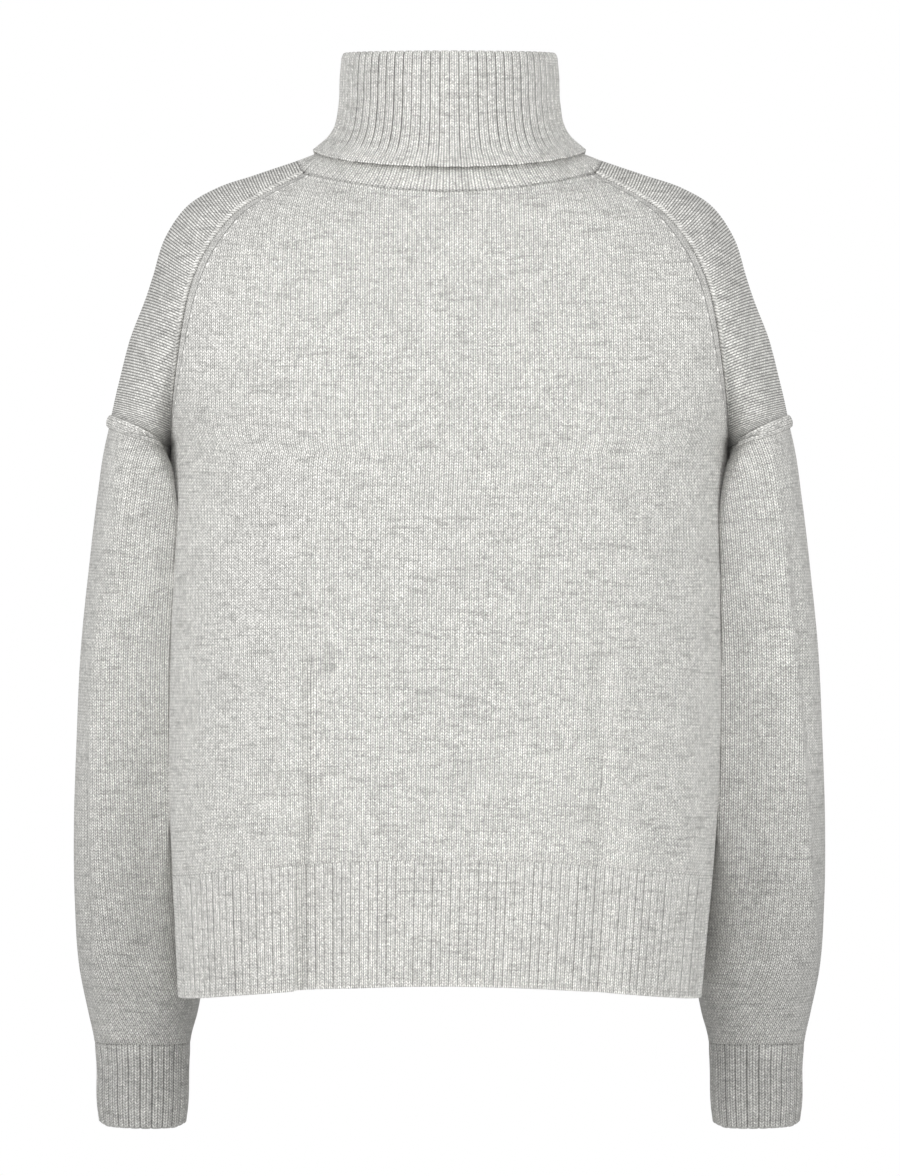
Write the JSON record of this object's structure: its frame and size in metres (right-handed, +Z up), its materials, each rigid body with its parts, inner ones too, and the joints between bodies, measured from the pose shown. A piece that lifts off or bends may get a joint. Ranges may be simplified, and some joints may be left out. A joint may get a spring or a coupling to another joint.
{
  "type": "turtleneck sweater",
  "caption": "Loose knitted turtleneck sweater with a turned-down ribbed collar, dropped sleeves and ribbed cuffs and hem, filled out as worn.",
  "frame": {"origin": "middle of the neck at the height where the shoulders meet it, where the wearer holds the sweater up", "axes": "+Z up, towards the collar's top; +Y towards the front; +X towards the wearer's right sleeve"},
  "size_m": [0.548, 0.248, 0.7774],
  "materials": {
    "body_knit": "light grey heather wool, knitted flat, soft and slightly fuzzy",
    "sleeve_knit": "light grey heather wool, knitted flat, soft and slightly fuzzy",
    "shoulder_knit": "light grey heather wool, the knit's back with fine cross ridges",
    "rib_knit": "light grey heather wool in a two by one rib",
    "seam_yarn": "light grey heather wool, rolled fuzzy seam"
  },
  "bodies": {
    "root": {"back_panel": "body_knit", "front_panel": "body_knit", "hem_rib_back": "rib_knit", "hem_rib_front": "rib_knit", "collar": "rib_knit", "shoulder_right": "shoulder_knit", "shoulder_left": "shoulder_knit", "sleeve_right": "sleeve_knit", "sleeve_left": "sleeve_knit", "cuff_right": "rib_knit", "cuff_left": "rib_knit", "drop_seam_right": "seam_yarn", "drop_seam_left": "seam_yarn"}
  },
  "joints": []
}
